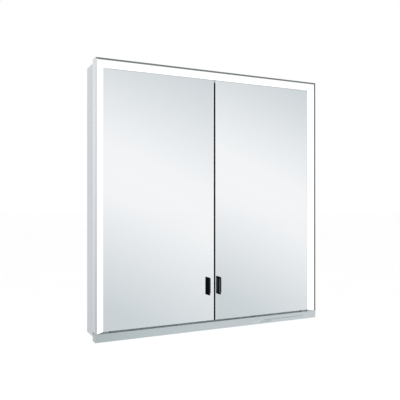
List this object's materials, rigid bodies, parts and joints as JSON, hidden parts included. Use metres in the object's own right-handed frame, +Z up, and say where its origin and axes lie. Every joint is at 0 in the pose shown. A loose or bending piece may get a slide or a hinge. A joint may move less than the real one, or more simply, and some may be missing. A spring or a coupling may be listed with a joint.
{
  "type": "mirror medicine cabinet",
  "caption": "Wall medicine cabinet with mirror doors set inside a sloping lit front frame, glass shelves, and a metal rail with a touch strip below.",
  "frame": {"origin": "centre of the flat back face that lies on the wall", "axes": "+X to the right as seen from the room, +Y into the wall, +Z up"},
  "size_m": [0.7, 0.112, 0.735],
  "materials": {
    "carcass": "satin anodised",
    "lit_profile": "satin anodised",
    "rail": "satin anodised",
    "diffuser": "opal, evenly lit",
    "mirror": "polished",
    "door_core": "satin grey board",
    "clear_glass": "polished",
    "black_plastic": "satin black",
    "black_rubber": "matt black",
    "grey_plastic": "fine matt",
    "white_plastic": "gloss",
    "steel": "zinc plated",
    "pin_steel": "ground",
    "magnet": "nickel plated",
    "led_board": "white board",
    "touch_panel": "gloss",
    "circuit_board": "green board"
  },
  "bodies": {
    "cabinet": {"left_side_panel": "carcass", "right_side_panel": "carcass", "top_panel": "carcass", "bottom_panel": "carcass", "rear_panel": "carcass", "centre_partition": "carcass", "partition_front_trim": "carcass", "electrics_tray": "carcass", "top_light_profile": "lit_profile", "left_light_profile": "lit_profile", "right_light_profile": "lit_profile", "bottom_rail": "rail", "top_diffuser": "diffuser", "left_diffuser": "diffuser", "right_diffuser": "diffuser", "left_back_mirror": "mirror", "right_back_mirror": "mirror", "left_lower_shelf": "clear_glass", "right_lower_shelf": "clear_glass", "left_upper_shelf": "clear_glass", "right_upper_shelf": "clear_glass", "terminal_block": "black_plastic", "profile_foot_caps": "black_plastic", "threshold_seal": "black_rubber", "door_bumpers": "black_rubber", "cable_grommet": "black_rubber", "left_pivot_bearings": "grey_plastic", "right_pivot_bearings": "grey_plastic", "magnet_catches": "grey_plastic", "hanger_housings": "grey_plastic", "led_driver": "white_plastic", "socket_housing": "white_plastic", "socket_inserts": "white_plastic", "rear_panel_screws": "steel", "bearing_screws": "steel", "hanger_hooks": "steel", "shelf_pins": "pin_steel", "catch_magnets": "magnet", "left_led_strip": "led_board", "right_led_strip": "led_board", "top_led_strip": "led_board", "touch_control_strip": "touch_panel", "touch_sensor_board": "circuit_board"},
    "left_door": {"left_door_mirror": "mirror", "left_door_back_mirror": "mirror", "left_door_core": "door_core", "left_door_handle": "black_plastic", "left_door_seal": "black_rubber", "left_door_pivot_brackets": "steel", "left_door_strike_plates": "steel", "left_door_pivot_pins": "pin_steel"},
    "right_door": {"right_door_mirror": "mirror", "right_door_back_mirror": "mirror", "right_door_core": "door_core", "right_door_handle": "black_plastic", "right_door_seal": "black_rubber", "right_door_pivot_brackets": "steel", "right_door_strike_plates": "steel", "right_door_pivot_pins": "pin_steel"}
  },
  "joints": [
    {"name": "left_door_hinge", "type": "hinge", "parent": "cabinet", "child": "left_door", "pos_m": [-0.3172, -0.092, 0], "axis": [0, 0, -1], "range_deg": [0, 105]},
    {"name": "right_door_hinge", "type": "hinge", "parent": "cabinet", "child": "right_door", "pos_m": [0.3172, -0.092, 0], "axis": [0, 0, 1], "range_deg": [0, 105]}
  ]
}
